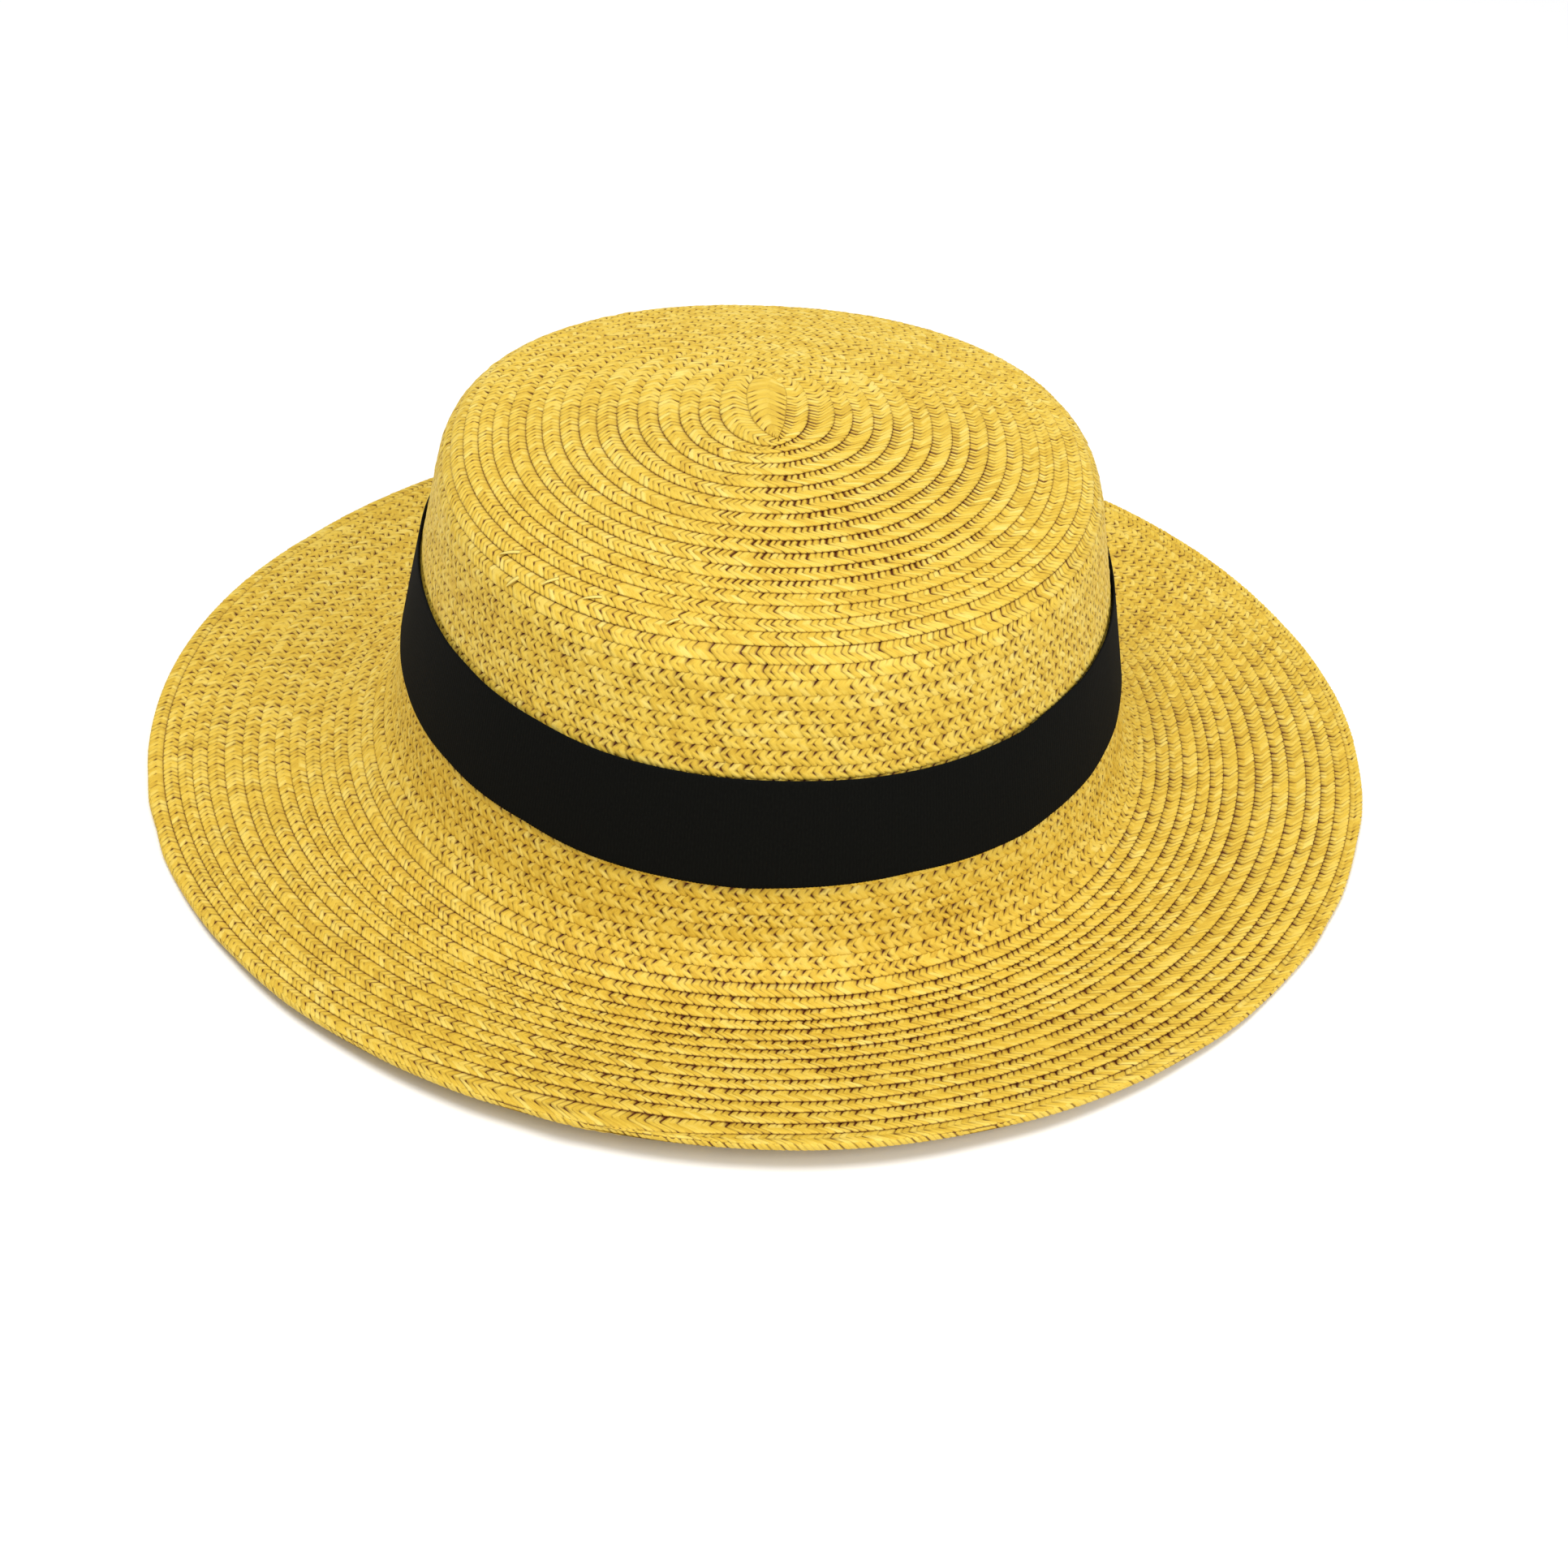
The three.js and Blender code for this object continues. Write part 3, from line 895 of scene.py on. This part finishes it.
def rim_grid():
    """Rolled edge of the last row, from the top of the brim round to its underside."""
    columns = RIM_STRANDS * RIM_COLUMNS + 1
    edge_turns = np.linspace(0, 1, columns)
    angle = edge_turns[:, None] * 2 * math.pi
    bumps = chance.normal(0, 1, RIM_STRANDS + 1)
    strand = np.arange(columns) // RIM_COLUMNS
    in_gap = np.arange(columns) % RIM_COLUMNS == 0
    strength = np.where(strand % 2 == 0, 1.0, 0.5) * (1 + 0.25 * bumps[strand % RIM_STRANDS])
    slow_sizes = np.append(chance.normal(0, 1, RIM_WOBBLE_STEPS), 0.0)
    slow = np.interp(edge_turns, np.linspace(0, 1, RIM_WOBBLE_STEPS + 1), slow_sizes)
    beyond, face = RIM_SECTION.T
    out = beyond + (np.where(in_gap, -RIM_GROOVE, RIM_RISE) * strength)[:, None] * (face < 0.38)
    out = out + RIM_WOBBLE * slow[:, None]
    height = face - 0.1 * (in_gap * strength)[:, None] * (face > 0)
    skew = np.linspace(0, 1, len(face)) * RIM_SKEW / RIM_RADIUS
    points = hat_point(PROFILE_LENGTH + out * MM, angle + skew, height * MM)
    points[-1] = points[0]
    # Painted shade in the gaps between the roll's strands, and faintly all over the roll
    painted_shade = np.where(in_gap, 0.5 * strength, 0.05)[:, None]
    tone = (0.35 + 0.5 * chance.random(RIM_STRANDS + 1))[strand % RIM_STRANDS]
    return {
        "points": points,
        "painted_shade": np.clip(painted_shade, 0, 1),
        "tone": tone[:, None],
        "grain": grain_place((np.arange(columns) / RIM_COLUMNS)[:, None], np.arange(len(face)) * 0.5, 0.0),
    }


make_piece("brim_edge_roll", [rim_grid()], brim_straw, [])

# Inner face of the crown and underside of the brim
lap_strand = strand_at(front_turns(starts["collar"] - 8 * MM))
LINING_DEPTH = 1.3 * MM
LINING_STRANDS = 24


def button_lining():
    """Inner face of the button, with painted shade between ribs, one rib for each strand."""
    along = np.linspace(0, 1, 40)[:, None]
    across = np.linspace(0, 1, 7)
    points = button_face(*button_lines(along), across, -LINING_DEPTH)
    # The ribs are only painted shade, dark between them
    rib = 0.5 + 0.5 * np.cos((along * LINING_STRANDS + np.abs(across - 0.5) * 2.6) * 2 * math.pi)
    return {
        "points": points,
        "painted_shade": 0.3 * rib,
        "tone": 0.5,
        "grain": grain_place(along * LINING_STRANDS, across * BUTTON_GRAIN, 0.0),
        "flip": True,
    }


make_piece("crown_inside_braid", [
    lining_grid(0, lap_strand),
    button_lining(),
], crown_straw, [])
make_piece("brim_underside_braid", [
    lining_grid(lap_strand, braid_end),
], brim_straw, [])

# Ribbon, with its faces' heights over the crown's face
RIB_COUNT = 660
RIB_COLUMNS = 3
RIBBON_IN = 0.78 * MM
RIBBON_OUT = 1.42 * MM

# Cross section of the ribbon: millimetres below its upper edge, and share of the way from its inner face out
RIBBON_MIDDLE = 12.5
RIBBON_SECTION = np.array([
    (0.6, 0.0), (0.15, 0.35), (0.0, 0.75), (0.35, 1.0), (1.2, 1.0), (RIBBON_MIDDLE, 1.02),
    (23.8, 1.0), (24.65, 1.0), (25.0, 0.75), (24.85, 0.35), (24.4, 0.0), (RIBBON_MIDDLE, 0.0),
])
RIB_GROOVE = 0.085 * MM
RIB_GROOVE_SHADE = 0.55
RIBBON_WOBBLE = 0.05 * MM
EDGE_WOBBLE = 0.09
WOBBLE_COUNT = 190
SEAM_FADE = 0.3

# How far the lower edge waves, in millimetres, at directions in degrees
LOWER_EDGE_WAVE = [
    (-166, 0.5), (-131, -0.5), (-94, 0.5), (-70, -1.0), (-35, 1.0), (0, 0.2), (60, -0.3), (120, 0.3),
]


def ribbon_grid(first_angle, last_angle, ribs, inner, outer, closed):
    """Ribbed ribbon between two angles, with woven edges."""
    columns = ribs * RIB_COLUMNS if closed else ribs * RIB_COLUMNS + 1
    angle = np.linspace(first_angle, last_angle, columns, endpoint=not closed)
    low = (np.arange(columns) % RIB_COLUMNS == 0)[:, None]
    slow = np.interp(angle, np.linspace(-7, 14, WOBBLE_COUNT), chance.normal(0, 1, WOBBLE_COUNT))
    if closed:
        slow = slow * smooth((angle - first_angle) / SEAM_FADE) * smooth((last_angle - angle) / SEAM_FADE)
    directions, waves = np.array(LOWER_EDGE_WAVE).T
    wave = np.interp(np.degrees(angle), directions, waves, period=360)[:, None]
    below, outness = RIBBON_SECTION.T
    down = below + EDGE_WOBBLE * slow[:, None] + np.where(low, 0.0, 0.04) * np.sign(below - RIBBON_MIDDLE)
    down = down + wave * smooth((below - 6) / 18)
    height = between(inner, outer, outness) - RIB_GROOVE * low * (outness > 0.5)
    # Painted shade in the grooves between ribs
    return {
        "points": hat_point(starts["ribbon"] + down * MM, angle[:, None], height + RIBBON_WOBBLE * slow[:, None]),
        "painted_shade": RIB_GROOVE_SHADE * low,
        "tone": 0.5,
        "grain": grain_place((np.arange(columns) / RIB_COLUMNS)[:, None], below * 0.5, 0.0),
        "closed_across": True,
        "closed_along": closed,
    }


LAP_START = math.radians(98)
LAP_END = math.radians(105)
LAP_RIBS = 13
LAP_IN = RIBBON_OUT + 0.02 * MM
LAP_OUT = RIBBON_OUT + 0.6 * MM
ribbon_piece = make_piece("ribbon_band", [
    ribbon_grid(LAP_START, LAP_START + 2 * math.pi, RIB_COUNT, RIBBON_IN, RIBBON_OUT, True),
], ribbon_look, ["hat_band"])
lap_piece = make_piece("ribbon_lap", [
    ribbon_grid(LAP_START, LAP_END, LAP_RIBS, LAP_IN, LAP_OUT, False),
], ribbon_look, [])
round_angles = np.linspace(0, 2 * math.pi, 721)
middle_line = hat_point(starts["ribbon"] + RIBBON_WIDTH / 2, round_angles, (RIBBON_IN + RIBBON_OUT) / 2)

# Camera
azimuth = math.radians(CAMERA_AZIMUTH)
elevation = math.radians(CAMERA_ELEVATION)
roll = math.radians(CAMERA_ROLL)
back = Vector((math.sin(azimuth) * math.cos(elevation), -math.cos(azimuth) * math.cos(elevation),
               math.sin(elevation)))
right = Vector((math.cos(azimuth), math.sin(azimuth), 0))
up = back.cross(right)
camera_right = right * math.cos(roll) + up * math.sin(roll)
camera_up = up * math.cos(roll) - right * math.sin(roll)
camera_data = bpy.data.cameras.new("camera")
camera_data.lens = CAMERA_LENS
camera_data.sensor_width = CAMERA_SENSOR
camera_data.clip_start = 0.01
camera_data.clip_end = 20
camera = bpy.data.objects.new("camera", camera_data)
camera_turn = Matrix((camera_right, camera_up, back)).transposed()
camera.matrix_world = Matrix.Translation(CAMERA_PLACE) @ camera_turn.to_4x4()
bpy.context.scene.collection.objects.link(camera)
bpy.context.scene.camera = camera

# Floor
FLOOR_HALF = 6.0
FLOOR_TOP = -0.1 * MM
FLOOR_CORNERS = [(-1, -1), (1, -1), (1, 1), (-1, 1)]
floor_mesh = bpy.data.meshes.new("floor")
floor_points = [(x * FLOOR_HALF, y * FLOOR_HALF, FLOOR_TOP) for x, y in FLOOR_CORNERS]
floor_mesh.from_pydata(floor_points, [], [(0, 1, 2, 3)])
floor = bpy.data.objects.new("floor", floor_mesh)
bpy.context.scene.collection.objects.link(floor)
floor_look = bpy.data.materials.new("floor_look")
floor_look.use_nodes = True
floor_look.node_tree.nodes["Principled BSDF"].inputs["Base Color"].default_value = (0.93, 0.93, 0.93, 1)
floor_look.node_tree.nodes["Principled BSDF"].inputs["Roughness"].default_value = 0.9
floor_mesh.materials.append(floor_look)

# Soft studio light


def area_light(name, place, target, size, watts):
    data = bpy.data.lights.new(name, "AREA")
    data.shape = "DISK"
    data.size = size
    data.energy = watts
    light = bpy.data.objects.new(name, data)
    light.location = place
    light.rotation_euler = (Vector(target) - Vector(place)).to_track_quat("-Z", "Y").to_euler()
    bpy.context.scene.collection.objects.link(light)


area_light("key_light", (-0.2, -0.3, 1.55), (0, 0, 0.05), 0.9, 16)
area_light("fill_light", (0.9, -1.2, 0.9), (0, 0, 0.05), 1.0, 11)
world = bpy.data.worlds.new("world")
world.use_nodes = True
world.node_tree.nodes["Background"].inputs["Color"].default_value = (1, 1, 1, 1)
world.node_tree.nodes["Background"].inputs["Strength"].default_value = 0.62
bpy.context.scene.world = world
bpy.context.scene.view_settings.view_transform = "Standard"
